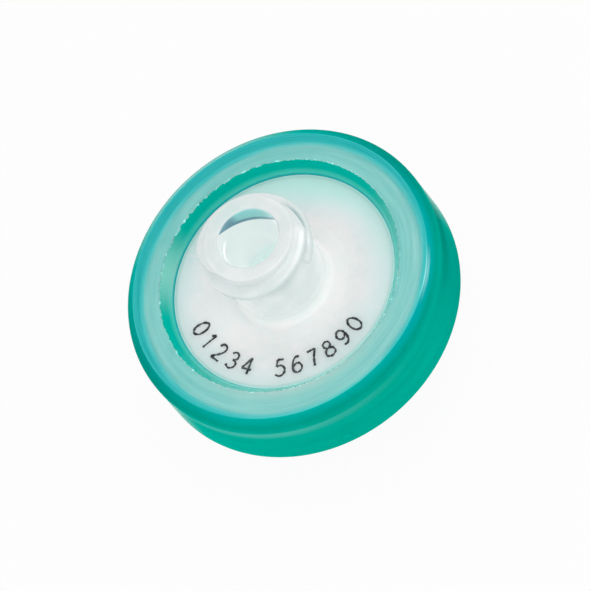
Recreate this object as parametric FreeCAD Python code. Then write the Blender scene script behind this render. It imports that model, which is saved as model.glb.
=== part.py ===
import FreeCAD, Part
import math
import os
from FreeCAD import Vector

# Syringe filter, in millimetres and degrees. The axis is Z with the inlet on top, and the
# origin is the centre of the flat end of the outlet tip.

# Disc, from the axis outwards
PORT_RADIUS = 1.10            # hole from the luer socket into the chamber
OUTLET_BORE_RADIUS = 1.05     # hole down the outlet tip
CHAMBER_RADIUS = 6.50         # open area above and below the membrane
PINCH_WIDTH = 1.00            # edge of the membrane that the housing halves grip
MEMBRANE_CLEARANCE = 0.05     # membrane edge to the rim around it
RIM_WIDTH = 2.45              # outlet rim that meets the inlet half, outside the membrane
RING_WALL = 1.20              # ring outside the housing edge
LIP_OVERLAP = 2.11            # ring lip over the housing, at the lip's foot
LIP_SLOPE = 0.73              # how far the lip leans back from its foot to the ring's face
BEVEL_INSET = 0.68            # ring's flat faces end this far inside its side

# Stack, along the axis
TIP_LENGTH = 7.20             # outlet cone, from its end to the shoulder
SHOULDER_HEIGHT = 1.97        # shoulder, from the cone to the housing face
OUTLET_PLATE = 1.40
DRAIN_DEPTH = 0.60
MEMBRANE_THICKNESS = 0.16
CHAMBER_DEPTH = 0.60
INLET_PLATE = 1.10
LIP_HEIGHT = 0.97             # ring face above the housing face, on both sides
FRONT_BEVEL_DROP = 0.68       # ring face down to where its bevel meets the side
BACK_BEVEL_DROP = 0.82        # the same on the ring's back
BEVEL_ROUND = 0.40            # softened edge between bevel and side
HUB_HEIGHT = 6.95             # housing face to the mouth of the hub
SOCKET_FLOOR = 0.65           # plate left under the luer socket

# Luer fittings
LUER_TAPER = 0.06             # change of diameter for each millimetre of length
SOCKET_MOUTH_RADIUS = 2.15
SOCKET_BEVEL = 0.13
TIP_END_RADIUS = 1.965
TIP_BEVEL = 0.20
SHOULDER_STEP = 0.82          # shoulder outside the thick end of the cone
SHOULDER_ROUND = 0.35
PLATE_FILLET = 0.35           # where the hub and the shoulder meet their plates

# Hub and its thread
HUB_WALL = 1.01               # at the mouth
HUB_DRAFT = 0.08              # how much wider the hub is at its foot
MOUTH_ROUND = 0.12
THREAD_STARTS = 2
THREAD_LEAD = 2.60
THREAD_SPAN = 210.0           # angle that one start runs round the hub at full height
THREAD_BEGIN = 332.0          # angle where the first start reaches full height
THREAD_DEPTH = 0.65           # mouth down to the middle of the crest where a start begins
THREAD_HEIGHT = 0.67
THREAD_CREST_WIDTH = 0.40
THREAD_ROOT_WIDTH = 0.95
THREAD_SINK = 0.30            # root of the thread inside the hub's wall
LEAD_IN_SPAN = 40.0           # low ramp ahead of each start
LEAD_IN_HEIGHT = 0.58

# Ribs inside the housing
FEED_RIBS = 6
FEED_RIB_WIDTH = 0.50
FEED_RIB_START = 0.50         # port edge to the inner end of a rib
FEED_GAP = 0.25               # ribs to the membrane
SUPPORT_RINGS = 4
SUPPORT_RING_WIDTH = 0.50
DRAIN_CHANNELS = 6
DRAIN_CHANNEL_WIDTH = 0.90

# Radii that follow
membrane_radius = CHAMBER_RADIUS + PINCH_WIDTH
rim_radius = membrane_radius + MEMBRANE_CLEARANCE
shell_radius = rim_radius + RIM_WIDTH
ring_radius = shell_radius + RING_WALL
window_radius = shell_radius - LIP_OVERLAP
hub_radius = SOCKET_MOUTH_RADIUS + HUB_WALL
tip_root_radius = TIP_END_RADIUS + TIP_LENGTH * LUER_TAPER / 2
shoulder_radius = tip_root_radius + SHOULDER_STEP

# Heights that follow
outlet_face = TIP_LENGTH + SHOULDER_HEIGHT
ring_back = outlet_face - LIP_HEIGHT
drain_floor = outlet_face + OUTLET_PLATE
membrane_seat = drain_floor + DRAIN_DEPTH
shell_joint = membrane_seat + MEMBRANE_THICKNESS
chamber_roof = shell_joint + CHAMBER_DEPTH
inlet_face = chamber_roof + INLET_PLATE
ring_front = inlet_face + LIP_HEIGHT
mouth = inlet_face + HUB_HEIGHT

AXIS = Vector(0, 0, 1)
ORIGIN = Vector(0, 0, 0)


def revolved(corners):
    """A closed section, revolved about the axis. Each corner is (radius, height, rounding)."""
    points = [Vector(radius, 0, height) for radius, height, rounding in corners]
    bends = []
    for i, corner in enumerate(points):
        before = (points[i - 1] - corner).normalize()
        after = (points[(i + 1) % len(points)] - corner).normalize()
        rounding = corners[i][2]
        half_angle = before.getAngle(after) / 2
        reach = rounding / math.tan(half_angle)
        sagitta = rounding / math.sin(half_angle) - rounding
        middle = corner + (before + after).normalize() * sagitta
        bends.append((corner + before * reach, middle, corner + after * reach))
    edges = []
    for i, (start, middle, finish) in enumerate(bends):
        next_start = bends[(i + 1) % len(bends)][0]
        if corners[i][2]:
            edges.append(Part.Arc(start, middle, finish).toShape())
        if finish.distanceToPoint(next_start) > 1e-6:
            edges.append(Part.makeLine(finish, next_start))
    return Part.Face(Part.Wire(edges)).revolve(ORIGIN, AXIS, 360)


def spoke(inner, outer, width, bottom, top, angle):
    """A straight bar along a radius, turned to its angle."""
    bar = Part.makeBox(outer - inner, width, top - bottom, Vector(inner, -width / 2, bottom))
    bar.rotate(ORIGIN, AXIS, angle)
    return bar


def ridge(begin, end):
    """A stretch of one thread start, between two angles on the way down from the mouth."""
    root = hub_radius - THREAD_SINK
    crest = hub_radius + THREAD_HEIGHT
    rise = THREAD_LEAD * (begin - end) / 360
    path = Part.Wire(Part.makeHelix(THREAD_LEAD, rise, root))
    section = Part.makePolygon([
        Vector(root, 0, -THREAD_ROOT_WIDTH / 2),
        Vector(crest, 0, -THREAD_CREST_WIDTH / 2),
        Vector(crest, 0, THREAD_CREST_WIDTH / 2),
        Vector(root, 0, THREAD_ROOT_WIDTH / 2),
        Vector(root, 0, -THREAD_ROOT_WIDTH / 2),
    ])
    thread = path.makePipeShell([section], True, True)
    thread.translate(Vector(0, 0, mouth - THREAD_DEPTH + THREAD_LEAD * end / 360))
    thread.rotate(ORIGIN, AXIS, end)
    return thread


def thread_start():
    """One start of the luer-lock thread, beginning at angle 0, with its ramp ahead of it."""
    full = ridge(0, -THREAD_SPAN)
    # The ramp is the same ridge, trimmed by an off-centre cylinder that leaves LEAD_IN_HEIGHT
    # where the full thread begins and meets the hub's own surface at the ramp's far end.
    high = hub_radius + LEAD_IN_HEIGHT
    along = hub_radius * math.cos(math.radians(LEAD_IN_SPAN))
    offset = (high ** 2 - hub_radius ** 2) / (2 * (high - along))
    trim = Part.makeCylinder(high - offset, HUB_HEIGHT - MOUTH_ROUND, Vector(offset, 0, inlet_face))
    return full.fuse(ridge(LEAD_IN_SPAN, 0).common(trim))


def inlet_shell():
    """Upper housing half: plate with the female luer-lock hub, feed ribs underneath."""
    socket_floor = chamber_roof + SOCKET_FLOOR
    shell = revolved([
        (PORT_RADIUS, chamber_roof, 0),
        (CHAMBER_RADIUS, chamber_roof, 0),
        (CHAMBER_RADIUS, shell_joint, 0),
        (shell_radius, shell_joint, 0),
        (shell_radius, inlet_face, 0),
        (hub_radius + HUB_DRAFT, inlet_face, PLATE_FILLET),
        (hub_radius, mouth, MOUTH_ROUND),
        (SOCKET_MOUTH_RADIUS + SOCKET_BEVEL, mouth, 0),
        (SOCKET_MOUTH_RADIUS - SOCKET_BEVEL * LUER_TAPER / 2, mouth - SOCKET_BEVEL, 0),
        (SOCKET_MOUTH_RADIUS - (mouth - socket_floor) * LUER_TAPER / 2, socket_floor, 0),
        (PORT_RADIUS, socket_floor, 0),
    ])
    for i in range(THREAD_STARTS):
        thread = thread_start()
        thread.rotate(ORIGIN, AXIS, THREAD_BEGIN + 360 * i / THREAD_STARTS)
        shell = shell.fuse(thread)
    for i in range(FEED_RIBS):
        rib = spoke(PORT_RADIUS + FEED_RIB_START, CHAMBER_RADIUS + FEED_RIB_WIDTH, FEED_RIB_WIDTH,
                    shell_joint + FEED_GAP, chamber_roof + INLET_PLATE / 2, 360 * i / FEED_RIBS)
        shell = shell.fuse(rib)
    return shell.removeSplitter()


def outlet_shell():
    """Lower housing half: plate with the male luer tip, membrane supports on top."""
    shell = revolved([
        (OUTLET_BORE_RADIUS, 0, 0),
        (TIP_END_RADIUS - TIP_BEVEL, 0, 0),
        (TIP_END_RADIUS + TIP_BEVEL * LUER_TAPER / 2, TIP_BEVEL, 0),
        (tip_root_radius, TIP_LENGTH, 0),
        (shoulder_radius, TIP_LENGTH, SHOULDER_ROUND),
        (shoulder_radius, outlet_face, PLATE_FILLET),
        (shell_radius, outlet_face, 0),
        (shell_radius, shell_joint, 0),
        (rim_radius, shell_joint, 0),
        (rim_radius, membrane_seat, 0),
        (CHAMBER_RADIUS, membrane_seat, 0),
        (CHAMBER_RADIUS, drain_floor, 0),
        (OUTLET_BORE_RADIUS, drain_floor, 0),
    ])
    root = drain_floor - OUTLET_PLATE / 2
    pitch = (CHAMBER_RADIUS - OUTLET_BORE_RADIUS) / (SUPPORT_RINGS + 0.5)
    for i in range(SUPPORT_RINGS):
        inner = OUTLET_BORE_RADIUS + pitch * (i + 0.5)
        outer = inner + SUPPORT_RING_WIDTH
        support = revolved([(inner, root, 0), (outer, root, 0),
                            (outer, membrane_seat, 0), (inner, membrane_seat, 0)])
        for k in range(DRAIN_CHANNELS):
            channel = spoke(0, CHAMBER_RADIUS, DRAIN_CHANNEL_WIDTH, drain_floor, membrane_seat,
                            360 * (k + 0.5) / DRAIN_CHANNELS)
            support = support.cut(channel)
        shell = shell.fuse(support)
    return shell.removeSplitter()


def membrane():
    """The filter disc, pinched between the two housing halves."""
    return Part.makeCylinder(membrane_radius, MEMBRANE_THICKNESS, Vector(0, 0, membrane_seat))


def sealing_ring():
    """The moulded ring that wraps the edges of both housing halves and holds them shut."""
    lip_radius = window_radius + LIP_SLOPE
    face_radius = ring_radius - BEVEL_INSET
    return revolved([
        (window_radius, inlet_face, 0),
        (lip_radius, ring_front, 0),
        (face_radius, ring_front, 0),
        (ring_radius, ring_front - FRONT_BEVEL_DROP, BEVEL_ROUND),
        (ring_radius, ring_back + BACK_BEVEL_DROP, BEVEL_ROUND),
        (face_radius, ring_back, 0),
        (lip_radius, ring_back, 0),
        (window_radius, outlet_face, 0),
        (shell_radius, outlet_face, 0),
        (shell_radius, inlet_face, 0),
    ])


os.makedirs("parts", exist_ok=True)
for make in (inlet_shell, outlet_shell, membrane, sealing_ring):
    shape = make()
    box = shape.optimalBoundingBox(False, False)
    print(f"{make.__name__}: {len(shape.Solids)} solid, valid {shape.isValid()}, "
          f"{shape.Volume:.2f} mm3, radius {box.XMax:.2f}, height {box.ZMin:.2f} to {box.ZMax:.2f}")
    shape.exportStep(f"parts/{make.__name__}.step")
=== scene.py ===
# %% [markdown]
# # Syringe filter
#
# A syringe filter cleans the liquid that a syringe pushes through it. Two halves of clear,
# slightly milky polypropylene close over a thin white membrane, and a green ring is moulded
# round their edges to hold them shut. The syringe locks on the threaded hub on top.
#
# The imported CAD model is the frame: its pieces are at their real size, in metres, with the
# axis along Z. Every piece made here is placed by those solids and rides on them.

# %% Load the frame
import math
import bmesh
import bpy
from mathutils import Matrix, Vector


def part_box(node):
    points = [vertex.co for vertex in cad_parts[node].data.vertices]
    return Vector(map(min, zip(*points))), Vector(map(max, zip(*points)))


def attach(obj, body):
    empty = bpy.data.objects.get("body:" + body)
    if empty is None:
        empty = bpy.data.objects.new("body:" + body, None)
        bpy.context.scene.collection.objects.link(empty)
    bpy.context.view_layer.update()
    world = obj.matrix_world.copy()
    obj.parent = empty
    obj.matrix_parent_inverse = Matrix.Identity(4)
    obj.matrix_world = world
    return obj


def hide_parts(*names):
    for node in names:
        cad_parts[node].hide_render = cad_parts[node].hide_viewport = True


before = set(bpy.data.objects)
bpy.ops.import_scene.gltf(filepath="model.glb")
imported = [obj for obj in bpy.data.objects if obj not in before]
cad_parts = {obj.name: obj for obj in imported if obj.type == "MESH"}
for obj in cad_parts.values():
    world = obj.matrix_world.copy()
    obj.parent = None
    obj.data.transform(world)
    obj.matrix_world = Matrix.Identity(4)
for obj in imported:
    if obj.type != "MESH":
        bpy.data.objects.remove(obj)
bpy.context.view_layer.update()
MM = 0.001

# %% [markdown]
# ## Sizes
#
# The frame gives the outer sizes. Only what a box can't tell is named here, such as how far
# the ring's lip leans. Working in millimetres keeps the numbers readable; the meshes are
# scaled to metres when they are made.

# %% Sizes of the disc, in millimetres
ring_low, ring_high = (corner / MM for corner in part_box("sealing_ring"))
inlet_low, inlet_high = (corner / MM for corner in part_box("inlet_shell"))
ring_radius = ring_high.x
ring_back = ring_low.z
ring_front = ring_high.z
shell_radius = inlet_high.x
shell_joint = inlet_low.z
mouth = inlet_high.z

LIP_HEIGHT = 0.97
LIP_OVERLAP = 2.11
LIP_SLOPE = 0.73
BEVEL_INSET = 0.68
inlet_face = ring_front - LIP_HEIGHT
outlet_face = ring_back + LIP_HEIGHT
window_radius = shell_radius - LIP_OVERLAP
lip_radius = window_radius + LIP_SLOPE
face_radius = ring_radius - BEVEL_INSET
print(f"ring radius {ring_radius:.2f}, lip {lip_radius:.2f}, window {window_radius:.2f}")
print(f"plate at {inlet_face:.2f}, mouth at {mouth:.2f}")

# %% [markdown]
# ## A short way to write node trees
#
# Geometry and materials are both node trees, and long sums are hard to read as single nodes.
# `Value` wraps one output socket, so that Python's own operators add the Math nodes.
# `Nodes.add` makes any other node: its type, its settings, then its sockets.

# %% Node helpers
BUMP_DEPTH = 0.02


class Value:
    """One output of a node. Sums and products of it become Math nodes."""

    def __init__(self, nodes, socket):
        self.nodes = nodes
        self.socket = socket

    def output(self, name):
        return Value(self.nodes, self.socket.node.outputs[name])

    def maths(self, operation, *others):
        return self.nodes.maths(operation, self, *others)

    def __add__(self, other):
        return self.maths("ADD", other)

    def __sub__(self, other):
        return self.maths("SUBTRACT", other)

    def __rsub__(self, other):
        return self.nodes.maths("SUBTRACT", other, self)

    def __mul__(self, other):
        return self.maths("MULTIPLY", other)

    def __truediv__(self, other):
        return self.maths("DIVIDE", other)

    def __mod__(self, other):
        return self.maths("FLOORED_MODULO", other)

    def __abs__(self):
        return self.maths("ABSOLUTE")

    def __neg__(self):
        return self * -1

    __radd__ = __add__
    __rmul__ = __mul__


class Nodes:
    """Adds nodes to one tree."""

    def __init__(self, tree):
        self.tree = tree

    def add(self, kind, settings=None, inputs=None, output=None):
        node = self.tree.nodes.new(kind)
        for name, setting in (settings or {}).items():
            setattr(node, name, setting)
        for name, value in (inputs or {}).items():
            if isinstance(name, int):
                socket = node.inputs[name]
            else:
                socket = next(s for s in node.inputs if s.enabled and s.name == name)
            if isinstance(value, Value):
                self.tree.links.new(value.socket, socket)
            else:
                socket.default_value = value
        if output:
            return Value(self, node.outputs[output])
        return Value(self, next((s for s in node.outputs if s.enabled), None))

    def maths(self, operation, *values):
        return self.add("ShaderNodeMath", {"operation": operation}, dict(enumerate(values)))

    def ramp(self, value, start, end, low=0.0, high=1.0):
        """Goes smoothly from low to high while value goes from start to end."""
        return self.add("ShaderNodeMapRange", {"interpolation_type": "SMOOTHSTEP"}, {
            "Value": value, "From Min": start, "From Max": end, "To Min": low, "To Max": high})

    def blend(self, mask, colour_a, colour_b):
        return self.add("ShaderNodeMix", {"data_type": "RGBA"}, {
            "Factor": mask, "A": colour_a, "B": colour_b})

    def noise(self, point, scale, detail=2.0, roughness=0.5):
        return self.add("ShaderNodeTexNoise", inputs={
            "Vector": point, "Scale": scale, "Detail": detail, "Roughness": roughness})

    def in_millimetres(self, point):
        return self.add("ShaderNodeVectorMath", {"operation": "SCALE"}, {
            0: point, "Scale": 1 / MM})

    def polar(self, point):
        """Radius, angle in degrees and height of a point."""
        x = self.add("ShaderNodeSeparateXYZ", inputs={0: point}, output="X")
        y = x.output("Y")
        radius = (x * x + y * y).maths("SQRT")
        angle = y.maths("ARCTAN2", x) * math.degrees(1)
        return radius, angle, x.output("Z")

    def off_angle(self, angle, middle):
        """Degrees between an angle and a middle, the short way round."""
        return abs((angle + (180 - middle)) % 360 - 180)

    def along_arc(self, radius, angle, middle):
        """Millimetres between an angle and a middle, measured round the axis."""
        return self.off_angle(angle, middle) * radius * math.radians(1)

    def near(self, value, middle, reach):
        """1 at the middle, fading to 0 at a distance of reach on both sides."""
        return self.ramp(abs(value - middle), 0.0, reach, 1.0, 0.0)

    def beside(self, angle, middle, reach):
        """1 at one angle, fading to 0 at reach degrees on both sides of it."""
        return self.near(self.off_angle(angle, middle), 0, reach)

    def streaks(self, radius, angle, along, across):
        """Noise drawn out round the axis. Along and across say how fine it is each way."""
        turn = angle * math.radians(1)
        ring = self.add("ShaderNodeCombineXYZ", inputs={
            "X": turn.maths("COSINE") * along, "Y": turn.maths("SINE") * along, "Z": radius * across})
        return self.noise(ring, 1.0, detail=3.0)

    def bump(self, height, strength):
        return self.add("ShaderNodeBump", inputs={
            "Strength": strength, "Distance": BUMP_DEPTH * MM, "Height": height})


# %% [markdown]
# ## Turned pieces
#
# The ring and the housing are round, so each follows from one section. The section is a
# closed line of points with its corners rounded, and a Geometry Nodes tree sweeps it round a
# small circle on the axis. What isn't round, such as a thread or a ragged edge, is a relief:
# a sum of angle, radius and height that pushes points out or up before the mesh is kept.
# That keeps each moulding one closed skin, as the real one is, with soft edges everywhere.

# %% Sections
ARC_STEP = math.radians(11)
SUPPORT = 0.03


def corner_points(before, corner, after, rounding):
    """The corner itself, or points along its rounding."""
    if not rounding:
        return [corner]
    back = (before - corner).normalized()
    ahead = (after - corner).normalized()
    half = back.angle(ahead) / 2
    centre = corner + (back + ahead).normalized() * rounding / math.sin(half)
    start = corner + back * rounding / math.tan(half) - centre
    end = corner + ahead * rounding / math.tan(half) - centre
    turn = math.atan2(start.x * end.y - start.y * end.x, start.dot(end))
    steps = math.ceil(abs(turn) / ARC_STEP)
    return [centre + Matrix.Rotation(turn * k / steps, 2) @ start for k in range(steps + 1)]


def section_points(corners):
    """Points round a closed section. Each corner is a radius, a height, its rounding and the
    spacing along the run that follows. A point close to each end of a run keeps the run's
    shading flat up to its corners."""
    places = [Vector(corner[:2]) for corner in corners]
    turns = [corner_points(places[i - 1], place, places[(i + 1) % len(places)], corners[i][2])
             for i, place in enumerate(places)]
    points = []
    for i, turn in enumerate(turns):
        points += turn
        run = turns[(i + 1) % len(turns)][0] - turn[-1]
        support = min(SUPPORT, run.length / 4)
        rows = math.ceil((run.length - 2 * support) / corners[i][3])
        marks = [support + (run.length - 2 * support) * k / rows for k in range(rows + 1)]
        points += [turn[-1] + run.normalized() * mark for mark in marks]
    return points


# %% Turning a section in Geometry Nodes
AXLE = 1.0


def turned_tree(name, sizes, relief):
    """A tree that sweeps the section round the axis and adds the relief. Sizes become its inputs."""
    tree = bpy.data.node_groups.new(name, "GeometryNodeTree")
    face = tree.interface
    face.new_socket("Section", in_out="INPUT", socket_type="NodeSocketGeometry")
    face.new_socket("Segments", in_out="INPUT", socket_type="NodeSocketInt")
    face.new_socket("Material", in_out="INPUT", socket_type="NodeSocketMaterial")
    for size in sizes:
        face.new_socket(size, in_out="INPUT", socket_type="NodeSocketFloat")
    face.new_socket("Piece", in_out="OUTPUT", socket_type="NodeSocketGeometry")
    nodes = Nodes(tree)
    given = nodes.add("NodeGroupInput")
    section = nodes.add("GeometryNodeMeshToCurve", inputs={"Mesh": given.output("Section")})
    axle = nodes.add("GeometryNodeCurvePrimitiveCircle", inputs={
        "Resolution": given.output("Segments"), "Radius": AXLE * MM})
    axle = nodes.add("GeometryNodeSetCurveNormal", {"mode": "Z_UP"}, {"Curve": axle})
    skin = nodes.add("GeometryNodeCurveToMesh", inputs={"Curve": axle, "Profile Curve": section})
    point = nodes.in_millimetres(nodes.add("GeometryNodeInputPosition"))
    radius, angle, height = nodes.polar(point)
    outward, upward = relief(nodes, given.output, point, radius, angle, height)
    away = nodes.add("ShaderNodeVectorMath", {"operation": "MULTIPLY"}, {0: point, 1: (1, 1, 0)})
    away = nodes.add("ShaderNodeVectorMath", {"operation": "NORMALIZE"}, {0: away})
    away = nodes.add("ShaderNodeVectorMath", {"operation": "SCALE"}, {0: away, "Scale": outward * MM})
    lift = nodes.add("ShaderNodeCombineXYZ", inputs={"Z": upward * MM})
    offset = nodes.add("ShaderNodeVectorMath", {"operation": "ADD"}, {0: away, 1: lift})
    skin = nodes.add("GeometryNodeSetPosition", inputs={"Geometry": skin, "Offset": offset})
    skin = nodes.add("GeometryNodeSetShadeSmooth", inputs={"Geometry": skin})
    skin = nodes.add("GeometryNodeRealizeInstances", inputs={"Geometry": skin})
    skin = nodes.add("GeometryNodeSetMaterial", inputs={
        "Geometry": skin, "Material": given.output("Material")})
    nodes.add("NodeGroupOutput", inputs={"Piece": skin})
    return tree


def finish_tree(piece, tree, inputs):
    """Runs a tree on a piece, keeps the result as its plain mesh and checks the skin."""
    modifier = piece.modifiers.new(tree.name, "NODES")
    modifier.node_group = tree
    for socket in tree.interface.items_tree:
        if socket.name in inputs:
            modifier[socket.identifier] = inputs[socket.name]
    shape = piece.evaluated_get(bpy.context.evaluated_depsgraph_get())
    piece.data = bpy.data.meshes.new_from_object(shape)
    piece.data.name = piece.name
    piece.modifiers.clear()
    skin = bmesh.new()
    skin.from_mesh(piece.data)
    volume = skin.calc_volume(signed=True) / MM ** 3
    loose = sum(not edge.is_manifold for edge in skin.edges)
    skin.free()
    print(f"{piece.name}: {len(piece.data.polygons)} faces, {volume:.1f} mm3, {loose} open edges")
    return piece


def turned_piece(name, corners, segments, material, sizes, relief):
    """A round piece from its section. The sweep wants the section in the tree's own XY plane,
    and run clockwise, which turns the faces outward."""
    points = section_points(corners)
    if sum(p.x * q.y - q.x * p.y for p, q in zip(points, points[1:] + points[:1])) > 0:
        points.reverse()
    line = bpy.data.meshes.new(name)
    line.from_pydata([((p.x - AXLE) * MM, -p.y * MM, 0) for p in points],
                     [(i, (i + 1) % len(points)) for i in range(len(points))], [])
    piece = bpy.data.objects.new(name, line)
    bpy.context.scene.collection.objects.link(piece)
    tree = turned_tree(name + "_tree", sizes, relief)
    inputs = {"Segments": segments, "Material": material, **sizes}
    return finish_tree(piece, tree, inputs)


# %% [markdown]
# ## Where the thread runs
#
# A thread with two starts winds round the hub. The shape and the finish both need to know
# how far along each start a point is, so that is worked out in one place.

# %% The hub and the path of its thread
SOCKET_RADIUS = 2.15
HUB_WALL = 1.01
THREAD_STARTS = 2
THREAD_LEAD = 2.60
THREAD_SPAN = 210
THREAD_BEGIN = 332
THREAD_DEPTH = 0.65
THREAD_ROOT = 0.95
ROOM_BEFORE = (360 - THREAD_SPAN) / 2
hub_radius = SOCKET_RADIUS + HUB_WALL
print(f"hub radius {hub_radius:.2f}, {THREAD_STARTS} starts of {THREAD_SPAN} degrees")


def thread_paths(angle):
    """For each start, the degrees from its beginning and the height of its middle there."""
    for start in range(THREAD_STARTS):
        begin = THREAD_BEGIN + 360 * start / THREAD_STARTS
        along = (begin + ROOM_BEFORE - angle) % 360 - ROOM_BEFORE
        yield along, mouth - THREAD_DEPTH - along * (THREAD_LEAD / 360)


# %% [markdown]
# ## Finishes
#
# The mouldings are milky: light goes a little way in and comes out elsewhere, so a hard edge
# glows and a wall over something pale looks pale. Subsurface scattering gives the glow. Only
# the ring's lip is clear enough to show what lies behind it, so there a share of rough
# refraction is mixed in. Colours are functions of radius, angle and height in Object
# coordinates, with soft cloudy noise, as the resin has. Many of them also carry painted shade,
# painted highlights, painted reflections and painted glows, placed by angle and height.

# %% Material helpers
def colour(red, green, blue):
    """A colour as it is seen, 0 to 255, turned into the linear light that nodes use."""
    def linear(part):
        part = part / 255
        return part / 12.92 if part <= 0.04045 else ((part + 0.055) / 1.055) ** 2.4
    return linear(red), linear(green), linear(blue), 1.0


def new_material(name):
    """An empty material and its nodes, with the point in millimetres and its polar parts."""
    material = bpy.data.materials.new(name)
    material.use_nodes = True
    material.node_tree.nodes.clear()
    nodes = Nodes(material.node_tree)
    point = nodes.in_millimetres(nodes.add("ShaderNodeTexCoord", output="Object"))
    return material, nodes, point, nodes.polar(point)


def close_material(nodes, inputs, clear=None, glass=None):
    """Ends a material in one Principled shader. Where it's clear, a refraction with the inputs
    of glass shows what lies behind."""
    shader = nodes.add("ShaderNodeBsdfPrincipled", inputs=inputs)
    if clear is not None:
        through = nodes.add("ShaderNodeBsdfRefraction", inputs=glass)
        shader = nodes.add("ShaderNodeMixShader", inputs={0: clear, 1: shader, 2: through})
    nodes.add("ShaderNodeOutputMaterial", inputs={"Surface": shader})


# %% [markdown]
# ## The ring's finish
#
# The ring is clear green resin. Its side is thick, so it looks deep green, and its lip is thin
# over the white housing, so it looks pale. One colour couldn't give both, and a fully clear
# shader would be slow and noisy, so each part of the surface has its own small function, and
# masks of radius and height lay them over one another. Painted shade, painted highlights,
# painted reflections and painted glints are laid on in the same way, mostly placed by angle.

# %% The colour of the ring's side
PARTING_DROP = 1.05
PARTING_FADE = 0.95
PARTING_HIGHLIGHT_ANGLE = 228
SIDE_SHADE_ANGLE = 332
SHADED_ANGLE = 340
SHADED_SIDES = (12, 168)
CREASE_ANGLE = 316


def ring_side(nodes, cloud, angle, height):
    """Faint bands of deep green; a bevel, lighter near the crease, with painted shade to both sides
    and a painted blue reflection on one side; painted shade on one side of the wall; a painted
    highlight band that fades out below the parting line; and darker towards the back edge."""
    drop = ring_front - height
    bands = nodes.ramp(nodes.streaks(drop, angle, 1.2, 0.9), 0.3, 0.7) * 0.5 + cloud * 0.5
    deep = nodes.blend(bands, colour(0, 168, 145), colour(0, 182, 159))
    bevel = nodes.blend(cloud, colour(0, 162, 142), colour(0, 172, 154))
    bevel = nodes.blend(nodes.ramp(drop, 0.6, 0.1), bevel, colour(0, 182, 172))
    # Painted shade: the bevel darkens towards two sides.
    for side in SHADED_SIDES:
        bevel = nodes.blend(nodes.beside(angle, side, 55) * 0.6, bevel, colour(0, 130, 120))
    # Painted reflection: the bevel turns blue near the crease on one side.
    blue_reflection = nodes.beside(angle, CREASE_ANGLE, 55) * nodes.ramp(drop, 0.5, 0.1)
    bevel = nodes.blend(blue_reflection * 0.6, bevel, colour(0, 178, 190))
    deep = nodes.blend(nodes.ramp(drop, PARTING_DROP, PARTING_DROP - 0.25), deep, bevel)
    # Painted shade: the wall darkens on one side, down from the bevel.
    side_shade = nodes.beside(angle, SIDE_SHADE_ANGLE, 45) * nodes.ramp(drop, 0.6, 1.5)
    deep = nodes.blend(side_shade * 0.7, deep, colour(0, 142, 126))
    # Painted shade: a darker patch low on one side of the wall.
    shaded = nodes.beside(angle, SHADED_ANGLE, 32) * nodes.near(drop, 1.8, 1.3)
    deep = nodes.blend(shaded * 0.6, deep, colour(0, 108, 94))
    # Painted highlight: a paler band just below the parting line, on one side.
    parting_highlight = nodes.ramp(drop, PARTING_DROP, PARTING_DROP + 0.12)
    parting_highlight = parting_highlight * nodes.ramp(drop, PARTING_DROP + PARTING_FADE, PARTING_DROP + 0.35)
    parting_highlight = parting_highlight * nodes.beside(angle, PARTING_HIGHLIGHT_ANGLE, 62)
    deep = nodes.blend(parting_highlight, deep, colour(66, 190, 174))
    back_edge = nodes.ramp(height, ring_back + 0.9, ring_back + 0.4)
    return nodes.blend(back_edge, deep, colour(0, 128, 110))


# %% The colours of the ring's lip
LIP_LIT_ANGLE = 245
WALL_REFLECTION_ANGLE = 133


def lip_wall(nodes, angle, height):
    """The slanting wall round the plate: paler low down, a painted reflection on one side, and a line at its
    foot.
    """
    low = nodes.ramp(height, inlet_face + 0.52, inlet_face + 0.18)
    wall = nodes.blend(low, colour(0, 186, 170), colour(76, 206, 190))
    # Painted reflection: a pale patch on one side of the wall.
    wall_reflection = nodes.beside(angle, WALL_REFLECTION_ANGLE, 24) * 0.85
    wall = nodes.blend(wall_reflection, wall, colour(150, 222, 210))
    line = nodes.ramp(height, inlet_face + 0.15, inlet_face + 0.08)
    return nodes.blend(line, wall, colour(28, 182, 184))


def lip_face(nodes, flow, over_housing, radius, angle):
    """The flat face: pale over the housing, with painted light near its inner edge on one side, and greener
    past the housing's edge.
    """
    pale = nodes.blend(nodes.ramp(flow, 0.3, 0.7), colour(86, 226, 224), colour(138, 242, 238))
    # Painted light: the face is paler near its inner edge on one side.
    lit_inner_edge = nodes.beside(angle, LIP_LIT_ANGLE, 75) * nodes.ramp(radius, 9.5, 8.7)
    pale = nodes.blend(lit_inner_edge, pale, colour(188, 245, 240))
    fine = nodes.ramp(nodes.streaks(radius, angle, 2.0, 14.0), 0.35, 0.65)
    edge = nodes.blend(fine, colour(32, 180, 179), colour(62, 193, 193))
    return nodes.blend(over_housing, edge, pale)


# %% The painted light on the ring
def ring_sparkle(nodes, speck, flow, inside, radius, angle, height):
    """Painted glints as a glow on the flash's specks, a painted highlight on one stretch of the bevel's
    crease, and a painted glow at the wall's foot.
    """
    sparkle = nodes.blend(speck, (0, 0, 0, 1), colour(206, 226, 224))
    crease = nodes.beside(angle, CREASE_ANGLE, 13)
    # Painted highlight along one stretch of the crease.
    crease_highlight = crease * nodes.near(radius, face_radius + 0.13, 0.17) * nodes.ramp(flow, 0.35, 0.6)
    sparkle = nodes.blend(crease_highlight, sparkle, colour(118, 126, 124))
    line = crease * nodes.near(radius, face_radius + 0.02, 0.04)
    sparkle = nodes.blend(line, sparkle, colour(170, 176, 174))
    # A painted glow that lightens the wall's foot.
    foot_glow = inside * nodes.ramp(height, inlet_face + 0.16, inlet_face + 0.02)
    return nodes.blend(foot_glow, sparkle, colour(16, 76, 78))


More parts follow.
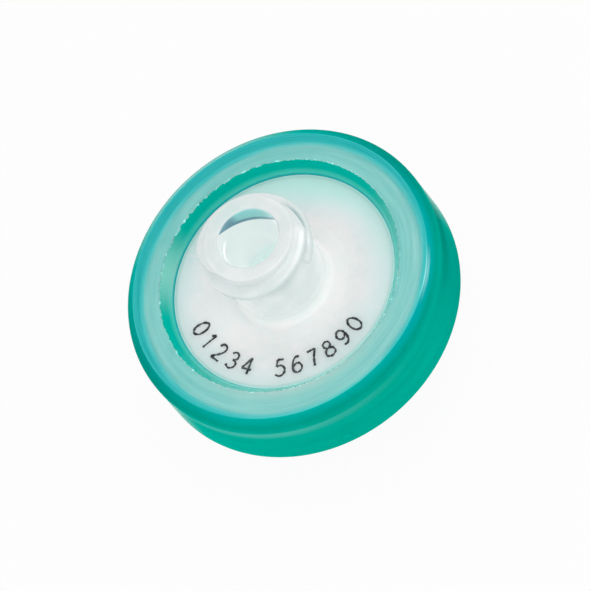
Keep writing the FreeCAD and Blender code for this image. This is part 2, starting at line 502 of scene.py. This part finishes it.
def ring_gloss(nodes, on_face, on_flash, inside, radius, angle, height):
    """How strong the clear coat is: low on the face, higher on the crease and at a low angle."""
    drop = ring_front - height
    grazing = nodes.add("ShaderNodeLayerWeight", inputs={"Blend": 0.5}, output="Facing")
    polished = 0.1 + 0.6 * nodes.beside(angle, CREASE_ANGLE, 34)
    gloss = nodes.near(radius, face_radius + 0.03, 0.10) * polished + on_flash * 0.15 + on_face * 0.12
    gloss = gloss + 0.5 * nodes.ramp(grazing, 0.84, 1.0) + inside * nodes.ramp(grazing, 0.40, 0.65)
    on_bevel = 0.7 * nodes.ramp(drop, 0.75, 0.60) * nodes.ramp(grazing, 0.70, 0.82) * (1 - inside)
    return (gloss + on_bevel).maths("MINIMUM", 1.0)


# %% The ring's finish
RESIN_IOR = 1.50
LIP_CLEAR = 0.45
LIP_HAZE = 0.38
LIP_TINT = (1.0, 0.95, 0.94, 1)
EDGE_LEAN = 0.42


def ring_finish():
    """Deep green all over, but the lip's flat face is clear enough to show the housing under it."""
    material, nodes, point, (radius, angle, height) = new_material("ring_jade")
    cloud = nodes.noise(point, 0.55, detail=3.0)
    grain = nodes.noise(point, 7.0)
    flow = nodes.streaks(radius, angle, 2.5, 5.0)
    inside = nodes.ramp(radius, lip_radius + 0.08, lip_radius)
    inside = inside * nodes.ramp(height, inlet_face - 0.3, inlet_face - 0.1)
    on_face = nodes.ramp(height, ring_front - 0.04, ring_front - 0.005)
    on_flash = nodes.near(radius, lip_radius, 0.13) * nodes.ramp(height, ring_front - 0.06, ring_front)
    speck = on_flash * nodes.ramp(nodes.noise(point, 3.0, detail=4.0, roughness=0.8), 0.58, 0.61)
    lean = (angle * math.radians(1)).maths("SINE") * -EDGE_LEAN
    over_housing = nodes.ramp(radius - lean - shell_radius, 0.36, -0.20)
    base = nodes.blend(inside, ring_side(nodes, cloud, angle, height), lip_wall(nodes, angle, height))
    base = nodes.blend(on_face, base, lip_face(nodes, flow, over_housing, radius, angle))
    clear = on_face * (1 - speck) * over_housing * over_housing * LIP_CLEAR
    close_material(nodes, {
        "Base Color": base,
        "Roughness": 0.24 + 0.10 * grain,
        "Normal": nodes.bump(grain, 0.05),
        "IOR": RESIN_IOR,
        "Specular IOR Level": 0.0,
        "Coat Weight": ring_gloss(nodes, on_face, on_flash, inside, radius, angle, height),
        "Coat Roughness": 0.10,
        "Emission Color": ring_sparkle(nodes, speck, flow, inside, radius, angle, height),
        "Emission Strength": 1.0,
        "Subsurface Weight": 1.0,
        "Subsurface Radius": (0.7, 1.0, 0.95),
        "Subsurface Scale": 0.7 * MM,
    }, clear, {"Color": LIP_TINT, "Roughness": LIP_HAZE, "IOR": RESIN_IOR})
    return material


ring_jade = ring_finish()
print("finish:", ring_jade.name, "with", len(ring_jade.node_tree.nodes), "nodes")

# %% [markdown]
# ## The housing's finish
#
# The housing is natural polypropylene, a milky white. Towards the ring it is painted green, for
# the green light that the ring throws on it. Light that enters the hub runs along its wall and
# leaves at the foot, the thread and the mouth. A few soft painted glows, each placed by angle
# and height, stand for that light, because tracing it through thin curved walls would take far
# longer to render. Painted shade, painted highlights and a painted reflection of the ring are
# placed the same way.

# %% The light in the socket
SHADE_MIDDLE = 42
SHADE_LEFT = 92
SHADE_RIGHT = 51
SHADE_DEPTH = 1.64
GLINT_ANGLE = 150
GLINT_DEPTH = 1.2


def socket_light(nodes, angle, depth):
    """Colour and glow in the socket: a painted reflection of the ring on one side of its wall with painted
    shade past it, a painted glow that grows with depth, and a painted glint.
    """
    left = (angle - SHADE_MIDDLE) * (1 / SHADE_LEFT)
    right = (SHADE_MIDDLE - angle) * (1 / SHADE_RIGHT)
    aside = left.maths("MAXIMUM", right)
    inside = (1 - aside * aside) * SHADE_DEPTH - depth
    # Painted shade: a dark line where the reflection ends. Painted reflection: the ring mirrored above it.
    line = nodes.ramp(inside, 0.0, 0.10)
    mirrored = nodes.ramp(inside, 0.28, 0.48) * nodes.ramp(angle, 98, 78)
    pale = nodes.blend(nodes.ramp(depth, 4.4, 6.2), colour(232, 238, 237), colour(216, 236, 234))
    tint = nodes.blend(line, pale, colour(104, 152, 168))
    tint = nodes.blend(mirrored, tint, colour(148, 212, 210))
    # A painted glow that grows with depth, and a painted glint on one side.
    shine = nodes.blend(nodes.ramp(depth, 1.5, 6.5), colour(94, 95, 94), colour(124, 120, 120))
    shine = nodes.blend(line, shine, colour(44, 60, 64))
    glint = nodes.near(angle, GLINT_ANGLE, 30) * nodes.near(depth, GLINT_DEPTH, 0.17)
    return tint, nodes.blend(glint, shine, colour(240, 240, 240))


# %% The colours of the hub and the plate
LEDGE_ANGLE = 352
FLANK_ANGLE = 310
FLOW_MARKS = (120, 180, 300)
PLATE_TEAL_ANGLE = 40


def thread_light(nodes, milk, radius, angle, height):
    """The milk with painted shade on the thread's ledge, and how much the thread's roots glow and its flank
    carries a painted highlight.
    """
    lit = 0.0
    for along, middle in thread_paths(angle):
        above = height - middle
        # Painted shade on the ledge where the thread runs out.
        ledge = nodes.ramp(along, 126, 152) * nodes.ramp(along, 178, 171) * nodes.near(above, 0.36, 0.28)
        ledge = ledge * nodes.near(radius, hub_radius + 0.24, 0.38)
        ledge = ledge * nodes.beside(angle, LEDGE_ANGLE, 60)
        milk = nodes.blend(ledge * 0.75, milk, colour(104, 156, 160))
        # A painted glow at the roots and a painted highlight on one flank.
        root = nodes.near(abs(above), THREAD_ROOT / 2, 0.2) * nodes.near(radius, hub_radius, 0.4)
        flank = nodes.ramp(along, 3, 10) * nodes.ramp(along, 56, 20) * nodes.near(above, 0.29, 0.13)
        flank = flank * nodes.ramp(radius, hub_radius + 0.25, hub_radius + 0.4)
        flank = flank * nodes.beside(angle, FLANK_ANGLE, 60)
        lit = root * (1 - ledge) * 0.3 + flank + lit
    return milk, lit.maths("MINIMUM", 1.0)


def plate_colour(nodes, milk, under_lip, lip_foot_band, radius, angle, height):
    """The milk with painted green light towards the ring, stronger on one side, a teal band at the lip's foot
    and pale lines of flow.
    """
    # Painted green light from the ring, stronger on one side.
    deeper = nodes.beside(angle, PLATE_TEAL_ANGLE, 60) * 0.8
    near_ring = nodes.ramp(radius + deeper, 5.0, window_radius + 0.5)
    near_ring = near_ring * nodes.ramp(height, inlet_face + 0.4, inlet_face)
    far_side = nodes.beside(angle, PLATE_TEAL_ANGLE, 130)
    tinge = nodes.blend(far_side, colour(226, 253, 249), colour(194, 240, 233))
    base = nodes.blend(near_ring * (1 - under_lip), milk, tinge)
    base = nodes.blend(lip_foot_band * 0.6, base, colour(150, 226, 218))
    on_plate = nodes.near(radius, window_radius - 0.7, 1.0) * nodes.ramp(height, inlet_face - 0.2, inlet_face)
    for mark in FLOW_MARKS:
        away = nodes.along_arc(radius, angle, mark)
        base = nodes.blend(nodes.near(away, 0, 0.12) * on_plate * 0.4, base, colour(250, 254, 254))
    return base


# %% The light at the foot of the hub
FOOT_ANGLE = 325
LIT_ANGLE = 168


def foot_light(nodes, radius, angle, height):
    """How much the hub's foot glows: most at the wall, low down and on one side."""
    foot = nodes.ramp(height, mouth - 1.6, mouth - 3.6) * nodes.ramp(height, inlet_face - 0.1, inlet_face)
    foot = foot * nodes.ramp(radius, hub_radius + 2.4, hub_radius + 0.3)
    foot = foot * (1 - 0.75 * nodes.ramp(radius, hub_radius + 0.15, hub_radius + 0.5))
    foot = foot * (1 + 0.35 * nodes.ramp(height, inlet_face + 2.5, inlet_face + 0.5))
    return foot * (1 + 0.6 * nodes.beside(angle, FOOT_ANGLE, 75))


def foot_shade(nodes, radius, angle, height):
    """How much painted shade greys the plate round the hub, most on the side where the foot glows."""
    shade = nodes.beside(angle, FOOT_ANGLE, 110) * nodes.near(radius, hub_radius, 1.9)
    return shade * nodes.ramp(height, inlet_face + 0.6, inlet_face + 0.1) * 0.35


def lit_plate(nodes, radius, angle, height):
    """How much the plate glows on the other side of the hub."""
    lit = nodes.beside(angle, LIT_ANGLE, 75) * nodes.ramp(height, inlet_face + 0.4, inlet_face)
    return lit * nodes.ramp(radius, 3.4, 4.0) * nodes.ramp(radius, 7.4, 5.0)


# %% The housing's finish
HOUSING_IOR = 1.49


def housing_finish():
    """Milky white, with painted green light towards the ring. Painted glows on the hub and its socket stand
    for light from their walls, and painted shade, highlights and a reflection lie in the colour.
    """
    material, nodes, point, (radius, angle, height) = new_material("housing_milky")
    cloud = nodes.ramp(nodes.noise(point, 0.40, detail=4.0, roughness=0.6), 0.38, 0.64)
    grain = nodes.noise(point, 6.0)
    on_hub = nodes.ramp(height, inlet_face + 0.05, inlet_face + 0.8)
    under_lip = nodes.ramp(radius, window_radius + 0.05, window_radius + 0.3)
    lip_foot_band = nodes.near(radius, window_radius, 0.3) * nodes.ramp(height, inlet_face - 0.1, inlet_face)
    bore = nodes.ramp(radius, SOCKET_RADIUS + 0.06, SOCKET_RADIUS - 0.02)
    bore = bore * nodes.ramp(height, inlet_face - 1.0, inlet_face - 0.6)
    tint, shine = socket_light(nodes, angle, mouth - height)

    milk = nodes.blend(cloud, colour(238, 248, 246), colour(250, 255, 254))
    milk = nodes.blend(on_hub, milk, nodes.blend(cloud, colour(218, 226, 225), colour(228, 233, 233)))
    # Painted shade on one side of the mouth's rim.
    far_rim = nodes.ramp(height, mouth - 0.1, mouth - 0.02) * nodes.beside(angle, 90, 65)
    milk = nodes.blend(far_rim * 0.6, milk, colour(198, 220, 216))
    milk, lit_thread = thread_light(nodes, milk, radius, angle, height)
    base = plate_colour(nodes, milk, under_lip, lip_foot_band, radius, angle, height)
    base = nodes.blend(bore, base, tint)
    base = nodes.blend(foot_shade(nodes, radius, angle, height), base, colour(232, 236, 235))

    # Painted light: glows on the hub, its foot, the plate beside it, the thread, the lip's foot and the
    # socket.
    glow = nodes.blend(on_hub, (0, 0, 0, 1), colour(36, 38, 38))
    glow = nodes.blend(foot_light(nodes, radius, angle, height), glow, colour(112, 103, 102))
    glow = nodes.blend(lit_plate(nodes, radius, angle, height), glow, colour(92, 92, 92))
    glow = nodes.blend(lit_thread * on_hub, glow, colour(112, 112, 112))
    # A painted glow at the lip's foot.
    glow = nodes.blend(nodes.near(radius, window_radius, 0.14) * lip_foot_band, glow, colour(104, 124, 122))
    glow = nodes.blend(bore, glow, shine)
    # Painted light under the lip, brightest near the housing's edge, which lamps can't reach through the
    # lip's refraction.
    beneath = under_lip * nodes.ramp(height, inlet_face - 0.1, inlet_face)
    glow = nodes.blend(beneath, glow, colour(108, 105, 97))
    glow = nodes.blend(beneath * nodes.near(radius, shell_radius - 0.35, 0.35), glow, colour(128, 124, 116))
    blurred = nodes.ramp(height, inlet_face + 1.6, inlet_face + 0.8) * nodes.ramp(radius, 5.0, 4.0)
    close_material(nodes, {
        "Base Color": base,
        "Roughness": 0.10 + 0.08 * grain + 0.4 * blurred,
        "Normal": nodes.bump(grain, 0.03),
        "IOR": HOUSING_IOR,
        "Emission Color": glow,
        "Emission Strength": 1.0,
        "Subsurface Weight": 1.0,
        "Subsurface Radius": (1.0, 1.0, 1.0),
        "Subsurface Scale": 1.6 * MM})
    return material


housing_milky = housing_finish()
print("finish:", housing_milky.name, "with", len(housing_milky.node_tree.nodes), "nodes")

# %% [markdown]
# ## The membrane's finish
#
# The membrane is a matt white film of fine fibres, and is hidden inside the housing. Noise at
# the scale of the fibres is enough for it.

# %% The membrane's finish
def membrane_finish():
    """Matt white, with a fine fibrous grain."""
    material, nodes, point, _ = new_material("membrane_white")
    fibre = nodes.noise(point, 9.0, detail=5.0, roughness=0.7)
    base = nodes.blend(fibre, colour(226, 228, 224), colour(246, 247, 244))
    close_material(nodes, {"Base Color": base, "Roughness": 0.9, "Normal": nodes.bump(fibre, 0.4)})
    return material


membrane_white = membrane_finish()
print("finish:", membrane_white.name)

# %% [markdown]
# ## The ring
#
# The ring is injected round the closed housing, so it grips both faces with a lip. A mould
# never closes perfectly: it leaves a thin line where its halves meet and a ragged flash along
# the lip, where the steel shut off on the housing. A stub marks the gate.

# %% Turn the ring
FRONT_BEVEL_DROP = 0.68
BACK_BEVEL_DROP = 0.82
BEVEL_ROUND = 0.40
SEAT = 0.02
FLASH_HEIGHT = 0.025
FLASH_REACH = 0.14
FLASH_ANGLE = 110
FLASH_ROW = 0.10
PARTING_HEIGHT = 0.008
GATE_ANGLE = 252
GATE_HEIGHT = 0.10
GATE_RISE = 1.8
LONG_RUN = 5
RING_SEGMENTS = 720


def ring_relief(nodes, size, point, radius, angle, height):
    """Ragged flash along the lip's edge, the parting lines, and the gate's stub on the wall."""
    on_edge = nodes.near(radius, lip_radius, 0.16) * nodes.ramp(height, ring_front - 0.12, ring_front - 0.02)
    rag = nodes.ramp(nodes.noise(point, 2.3, detail=5.0, roughness=0.9), 0.42, 0.58)
    reach = size("Flash reach") * (0.3 + 0.7 * nodes.beside(angle, FLASH_ANGLE, 100))
    on_side = nodes.ramp(radius, ring_radius - 0.3, ring_radius - 0.2)
    line = ring_front - PARTING_DROP
    parting = nodes.ramp(height, line + 0.04, line - 0.06)
    parting = parting * nodes.ramp(height, line - PARTING_FADE, line - 0.2)
    away = nodes.along_arc(radius, angle, GATE_ANGLE)
    gate = nodes.ramp(away, 0.3, 0.2) * nodes.near(height, ring_back + GATE_RISE, 0.35)
    outward = on_side * (parting * size("Parting height") + gate * size("Gate height"))
    return outward - on_edge * (rag - 0.5) * reach, on_edge * rag * size("Flash height")


ring = turned_piece("ring", [
    (window_radius, inlet_face - SEAT, 0, FLASH_ROW),
    (lip_radius, ring_front, 0.03, FLASH_ROW),
    (face_radius, ring_front, 0.05, LONG_RUN),
    (ring_radius, ring_front - FRONT_BEVEL_DROP, BEVEL_ROUND, 0.11),
    (ring_radius, ring_back + BACK_BEVEL_DROP, BEVEL_ROUND, LONG_RUN),
    (face_radius, ring_back, 0.05, LONG_RUN),
    (lip_radius, ring_back, 0.03, LONG_RUN),
    (window_radius, outlet_face + SEAT, 0, LONG_RUN),
    (shell_radius - SEAT, outlet_face + SEAT, 0, LONG_RUN),
    (shell_radius - SEAT, inlet_face - SEAT, 0, LONG_RUN),
], RING_SEGMENTS, ring_jade, {
    "Flash height": FLASH_HEIGHT, "Flash reach": FLASH_REACH,
    "Parting height": PARTING_HEIGHT, "Gate height": GATE_HEIGHT}, ring_relief)
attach(ring, "root")
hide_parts("sealing_ring")

# %% [markdown]
# ## The upper housing
#
# The inlet half carries the hub that a syringe locks on. Its section is turned like the
# ring's, and the two-start thread is a relief on the hub's wall: each start climbs to the
# right, rises from the wall in a low ramp and ends square, as a mould that unscrews leaves it.

# %% Turn the upper housing
THREAD_HEIGHT = 0.67
THREAD_CREST = 0.40
LEAD_IN_SPAN = 40
LEAD_IN_HEIGHT = 0.58
PORT_RADIUS = 1.10
CHAMBER_RADIUS = 6.50
CHAMBER_DEPTH = 0.60
SOCKET_FLOOR = 0.65
SOCKET_TAPER = 0.03
SOCKET_BEVEL = 0.13
HUB_DRAFT = 0.08
MOUTH_ROUND = 0.12
PLATE_FILLET = 0.35
EDGE_ROUND = 0.05
THREAD_ROW = 0.055
FEED_RIBS = 6
FEED_RIB_WIDTH = 0.50
FEED_RIB_DEPTH = 0.35
HOUSING_SEGMENTS = 360
chamber_roof = shell_joint + CHAMBER_DEPTH
socket_floor = chamber_roof + SOCKET_FLOOR


def housing_relief(nodes, size, point, radius, angle, height):
    """The lock thread on the hub, and the feed ribs under the plate."""
    thread = 0.0
    for along, middle in thread_paths(angle):
        full = nodes.ramp(along, 0, 2.5) * nodes.ramp(along, THREAD_SPAN + 1, THREAD_SPAN - 1)
        climb = nodes.add("ShaderNodeMapRange", inputs={
            "Value": along, "From Min": -LEAD_IN_SPAN, "From Max": 0, "To Max": LEAD_IN_HEIGHT})
        tall = full * size("Thread height") + climb * nodes.ramp(along, 2.5, 0)
        flank = nodes.ramp(abs(height - middle), THREAD_CREST / 2, THREAD_ROOT / 2, 1, 0)
        thread = (tall * flank).maths("MAXIMUM", thread)
    on_wall = nodes.maths("GREATER_THAN", radius, SOCKET_RADIUS + HUB_WALL / 2)
    on_wall = on_wall * nodes.ramp(height, inlet_face + 1, inlet_face + 1.2)
    on_wall = on_wall * nodes.ramp(height, mouth - MOUTH_ROUND, mouth - MOUTH_ROUND - 0.1)
    pitch = 360 / FEED_RIBS
    across = abs((angle + pitch / 2) % pitch - pitch / 2) * radius * math.radians(1)
    rib = nodes.ramp(across, FEED_RIB_WIDTH / 2 + 0.05, FEED_RIB_WIDTH / 2 - 0.05)
    rib = rib * nodes.ramp(radius, PORT_RADIUS + 0.45, PORT_RADIUS + 0.55)
    rib = rib * nodes.ramp(radius, CHAMBER_RADIUS + 0.01, CHAMBER_RADIUS - 0.01)
    rib = rib * nodes.ramp(height, chamber_roof + 0.1, chamber_roof + 0.05)
    return thread * on_wall, rib * -size("Rib depth")


upper_housing = turned_piece("upper_housing", [
    (PORT_RADIUS, chamber_roof, 0, 0.4),
    (CHAMBER_RADIUS, chamber_roof, EDGE_ROUND, 1),
    (CHAMBER_RADIUS, shell_joint, 0, 2),
    (shell_radius, shell_joint, 0, 2),
    (shell_radius, inlet_face, EDGE_ROUND, 1),
    (hub_radius + HUB_DRAFT, inlet_face, PLATE_FILLET, THREAD_ROW),
    (hub_radius, mouth, MOUTH_ROUND, 1),
    (SOCKET_RADIUS + SOCKET_BEVEL, mouth, 0.04, 1),
    (SOCKET_RADIUS - SOCKET_BEVEL * SOCKET_TAPER, mouth - SOCKET_BEVEL, 0.04, 1),
    (SOCKET_RADIUS - (mouth - socket_floor) * SOCKET_TAPER, socket_floor, 0.2, 1),
    (PORT_RADIUS, socket_floor, EDGE_ROUND, 1),
], HOUSING_SEGMENTS, housing_milky, {
    "Thread height": THREAD_HEIGHT, "Rib depth": FEED_RIB_DEPTH}, housing_relief)
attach(upper_housing, "root")
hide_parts("inlet_shell")

# %% [markdown]
# ## The printed digits
#
# A row of plain digits is stamped on the plate in black ink, with their feet to the ring.
# Each digit is a few pen strokes, given on a grid one high. The strokes are bent round the
# axis, and a Geometry Nodes tree smooths them, makes them a little ragged and gives them the
# flat lens section of dried ink.

# %% Pen strokes of the digits
LOOP, OPEN = True, False
PEN_STROKES = {
    "0": [(LOOP, (.30, 1), (.08, .82), (.02, .5), (.08, .18), (.30, 0), (.52, .18), (.58, .5), (.52, .82))],
    "1": [(OPEN, (.12, .80), (.32, 1)), (OPEN, (.32, 1), (.32, 0))],
    "2": [(OPEN, (.05, .78), (.16, .96), (.33, 1), (.50, .92), (.55, .72), (.42, .46), (.04, 0)),
          (OPEN, (.04, 0), (.58, 0))],
    "3": [(OPEN, (.06, .85), (.20, .98), (.38, .98), (.52, .85), (.49, .64), (.28, .54)),
          (OPEN, (.28, .54), (.52, .44), (.57, .24), (.43, .05), (.22, .01), (.04, .14))],
    "4": [(OPEN, (.42, 1), (.02, .30)), (OPEN, (.02, .30), (.60, .30)),
          (OPEN, (.42, 1), (.42, 0))],
    "5": [(OPEN, (.52, 1), (.12, 1)), (OPEN, (.12, 1), (.08, .58)),
          (OPEN, (.08, .58), (.30, .65), (.50, .54), (.57, .32), (.46, .07), (.24, 0), (.04, .10))],
    "6": [(OPEN, (.50, .95), (.30, .98), (.12, .80), (.04, .45), (.08, .15), (.28, 0),
           (.50, .12), (.56, .34), (.44, .55), (.24, .57), (.06, .40))],
    "7": [(OPEN, (.04, 1), (.58, 1)), (OPEN, (.58, 1), (.34, .50), (.24, 0))],
    "8": [(LOOP, (.30, 1), (.11, .90), (.11, .68), (.30, .55), (.49, .68), (.49, .90)),
          (LOOP, (.30, .55), (.07, .42), (.05, .14), (.30, 0), (.55, .14), (.53, .42))],
}
PEN_STROKES["9"] = [(loop, *[(.60 - x, 1 - y) for x, y in points]) for loop, *points in PEN_STROKES["6"]]

PRINT = "01234 567890"
PRINT_BEGIN = 168
PRINT_END = 286
PRINT_FOOT = 7.04
PRINT_HEIGHT = 1.20
print("digits to print:", PRINT)


def print_lines():
    """The strokes as edges on the plate, in metres."""
    line = bmesh.new()
    for place, digit in enumerate(PRINT):
        middle = PRINT_BEGIN + (PRINT_END - PRINT_BEGIN) * place / (len(PRINT) - 1)
        for loop, *points in PEN_STROKES.get(digit, []):
            corners = []
            for across, up in points:
                turn = math.radians(middle) + (across - 0.3) * PRINT_HEIGHT / (PRINT_FOOT - PRINT_HEIGHT / 2)
                away = PRINT_FOOT - up * PRINT_HEIGHT
                corners.append(line.verts.new(Vector((
                    away * math.cos(turn), away * math.sin(turn), inlet_face)) * MM))
            for here, there in zip(corners, corners[1:] + corners[:1] * loop):
                line.edges.new((here, there))
    mesh = bpy.data.meshes.new("digits")
    line.to_mesh(mesh)
    line.free()
    return mesh


# %% Ink and its tree
INK_WIDTH = 0.16
INK_RISE = 0.02
NIB_POINTS = 8


def ink_finish():
    """Matt black ink, thin in places, where the plate greys it."""
    material, nodes, point, _ = new_material("ink_black")
    thin = nodes.ramp(nodes.noise(point, 3.0, detail=4.0, roughness=0.7), 0.40, 0.70)
    base = nodes.blend(thin, colour(34, 36, 38), colour(98, 104, 104))
    close_material(nodes, {"Base Color": base, "Roughness": 0.45 + 0.2 * thin, "Specular IOR Level": 0.3})
    return material


def print_tree():
    """A tree that turns pen strokes into lines of ink."""
    tree = bpy.data.node_groups.new("print_tree", "GeometryNodeTree")
    face = tree.interface
    face.new_socket("Strokes", in_out="INPUT", socket_type="NodeSocketGeometry")
    face.new_socket("Width", in_out="INPUT", socket_type="NodeSocketFloat")
    face.new_socket("Rise", in_out="INPUT", socket_type="NodeSocketFloat")
    face.new_socket("Ink", in_out="INPUT", socket_type="NodeSocketMaterial")
    face.new_socket("Print", in_out="OUTPUT", socket_type="NodeSocketGeometry")
    nodes = Nodes(tree)
    given = nodes.add("NodeGroupInput")
    pen = nodes.add("GeometryNodeMeshToCurve", inputs={"Mesh": given.output("Strokes")})
    pen = nodes.add("GeometryNodeCurveSplineType", {"spline_type": "CATMULL_ROM"}, {"Curve": pen})
    pen = nodes.add("GeometryNodeResampleCurve", {"mode": "LENGTH"}, {"Curve": pen, "Length": 0.04 * MM})
    pen = nodes.add("GeometryNodeSetCurveNormal", {"mode": "Z_UP"}, {"Curve": pen})
    point = nodes.in_millimetres(nodes.add("GeometryNodeInputPosition"))
    swell = nodes.ramp(nodes.noise(point, 5.0, detail=3.0), 0.35, 0.65, 0.70, 1.25)
    nib = nodes.add("GeometryNodeCurvePrimitiveCircle", inputs={
        "Resolution": NIB_POINTS, "Radius": given.output("Width") * (MM / 2)})
    flat = nodes.add("ShaderNodeCombineXYZ", inputs={
        "X": 1.0, "Y": given.output("Rise") / given.output("Width") * 2, "Z": 1.0})
    nib = nodes.add("GeometryNodeTransform", inputs={"Geometry": nib, "Scale": flat})
    ink = nodes.add("GeometryNodeCurveToMesh", inputs={
        "Curve": pen, "Profile Curve": nib, "Scale": swell, "Fill Caps": True})
    ink = nodes.add("GeometryNodeRealizeInstances", inputs={"Geometry": ink})
    ink = nodes.add("GeometryNodeSetMaterial", inputs={"Geometry": ink, "Material": given.output("Ink")})
    nodes.add("NodeGroupOutput", inputs={"Print": ink})
    return tree


# %% Print the digits
digits = bpy.data.objects.new("digits", print_lines())
bpy.context.scene.collection.objects.link(digits)
finish_tree(digits, print_tree(), {"Width": INK_WIDTH, "Rise": INK_RISE, "Ink": ink_finish()})
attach(digits, "root")

# %% [markdown]
# ## The solids that stay
#
# The lower housing and the membrane have their full shape in the CAD, so their solids stay as
# they are and only get a finish.

# %% Finishes of the carried-over solids
for node, finish in (("outlet_shell", housing_milky), ("membrane", membrane_white)):
    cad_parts[node].data.materials.clear()
    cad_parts[node].data.materials.append(finish)
    print("keeps its solid:", node, "in", finish.name)

# %% [markdown]
# ## Camera
#
# The camera looks down on the disc from a long way off with a long lens, which keeps the
# circles true ellipses. Its roll tips the hub towards the upper left.

# %% Camera
VIEW_ELEVATION = math.radians(57.1)
VIEW_ROLL = math.radians(40)
VIEW_DISTANCE = 600
VIEW_WIDTH = 39.66
AIM_RIGHT = 1.107
AIM_UP = -1.376

toward_camera = Vector((0, -math.cos(VIEW_ELEVATION), math.sin(VIEW_ELEVATION)))
level_up = Vector((0, math.sin(VIEW_ELEVATION), math.cos(VIEW_ELEVATION)))
level_right = Vector((1, 0, 0))
view_right = math.cos(VIEW_ROLL) * level_right - math.sin(VIEW_ROLL) * level_up
view_up = math.sin(VIEW_ROLL) * level_right + math.cos(VIEW_ROLL) * level_up
aim = Vector((0, 0, ring_front)) + AIM_RIGHT * view_right + AIM_UP * view_up

camera_data = bpy.data.cameras.new("camera")
camera_data.lens = camera_data.sensor_width * VIEW_DISTANCE / VIEW_WIDTH
camera_data.clip_start = 0.01
camera = bpy.data.objects.new("camera", camera_data)
turn = Matrix((view_right, view_up, toward_camera)).transposed().to_4x4()
camera.matrix_world = Matrix.Translation((aim + VIEW_DISTANCE * toward_camera) * MM) @ turn
bpy.context.scene.collection.objects.link(camera)
bpy.context.scene.camera = camera
print(f"lens {camera_data.lens:.0f} mm at {VIEW_DISTANCE} mm")

# %% [markdown]
# ## Floor and light
#
# Everything stands on a plain white floor under a white sky, as on a light table. The floor and
# the sky look white to the rays that show the background. The light that they throw on the
# part is weaker, so that pale plastic keeps its shape and doesn't burn out.

# %% Floor
def seen_rays(nodes):
    """1 for rays that show the background: from the camera, a mirror or glass."""
    ray = nodes.add("ShaderNodeLightPath", output="Is Camera Ray")
    shown = ray + ray.output("Is Glossy Ray") + ray.output("Is Transmission Ray")
    return shown.maths("MINIMUM", 1.0)


FLOOR_GLOW = 0.92
FLOOR_REACH = 2000
FLOOR_DROP = 0.02


def floor_finish():
    """White paper, and a plain white to the rays that show the background."""
    material = bpy.data.materials.new("floor_white")
    material.use_nodes = True
    material.node_tree.nodes.clear()
    nodes = Nodes(material.node_tree)
    paper = nodes.add("ShaderNodeBsdfDiffuse", inputs={"Color": (0.9, 0.9, 0.9, 1)})
    white = nodes.add("ShaderNodeEmission", inputs={"Color": (1, 1, 1, 1), "Strength": 1.0})
    shown = seen_rays(nodes) * FLOOR_GLOW
    mixed = nodes.add("ShaderNodeMixShader", inputs={0: shown, 1: paper, 2: white})
    nodes.add("ShaderNodeOutputMaterial", inputs={"Surface": mixed})
    return material


floor_mesh = bpy.data.meshes.new("floor")
low = -FLOOR_DROP * MM
far = FLOOR_REACH * MM
corners = [(-far, -far, low), (far, -far, low), (far, far, low), (-far, far, low)]
floor_mesh.from_pydata(corners, [], [(0, 1, 2, 3)])
floor_mesh.materials.append(floor_finish())
floor = bpy.data.objects.new("floor", floor_mesh)
bpy.context.scene.collection.objects.link(floor)
print(f"floor {2 * FLOOR_REACH * MM:.0f} m across, {FLOOR_DROP} mm under the part")

# %% Sky
SKY = 0.64

world = bpy.data.worlds.new("sky")
world.use_nodes = True
world.node_tree.nodes.clear()
nodes = Nodes(world.node_tree)
strength = nodes.ramp(seen_rays(nodes), 0.0, 1.0, SKY, 1.0)
sky = nodes.add("ShaderNodeBackground", inputs={"Color": (1, 1, 1, 1), "Strength": strength})
nodes.add("ShaderNodeOutputWorld", inputs={"Surface": sky})
bpy.context.scene.world = world
print("sky:", SKY, "on the part")

# %% Lamps
LAMP_DISTANCE = 500


def lamp(name, azimuth, elevation, size, power):
    """A square soft box that looks at the disc. Azimuth is 0 on the camera's side and
    grows to the right."""
    data = bpy.data.lights.new(name, "AREA")
    data.size = size * MM
    data.energy = power
    box = bpy.data.objects.new(name, data)
    turn = math.radians(azimuth)
    rise = math.radians(elevation)
    level = math.cos(rise)
    way = Vector((math.sin(turn) * level, -math.cos(turn) * level, math.sin(rise)))
    box.matrix_world = way.to_track_quat("Z", "Y").to_matrix().to_4x4()
    box.location = (Vector((0, 0, ring_front)) + way * LAMP_DISTANCE) * MM
    bpy.context.scene.collection.objects.link(box)
    print(f"{name}: {size} mm square at {LAMP_DISTANCE} mm")


lamp("key_box", 10, 62, 350, 0.66)
lamp("strip_box", 90, 63, 120, 0.20)
lamp("fill_box", -100, 35, 300, 0.12)
lamp("rim_box", 168, 30, 150, 0.04)

# %% Finish
bpy.context.scene.view_settings.view_transform = "Standard"
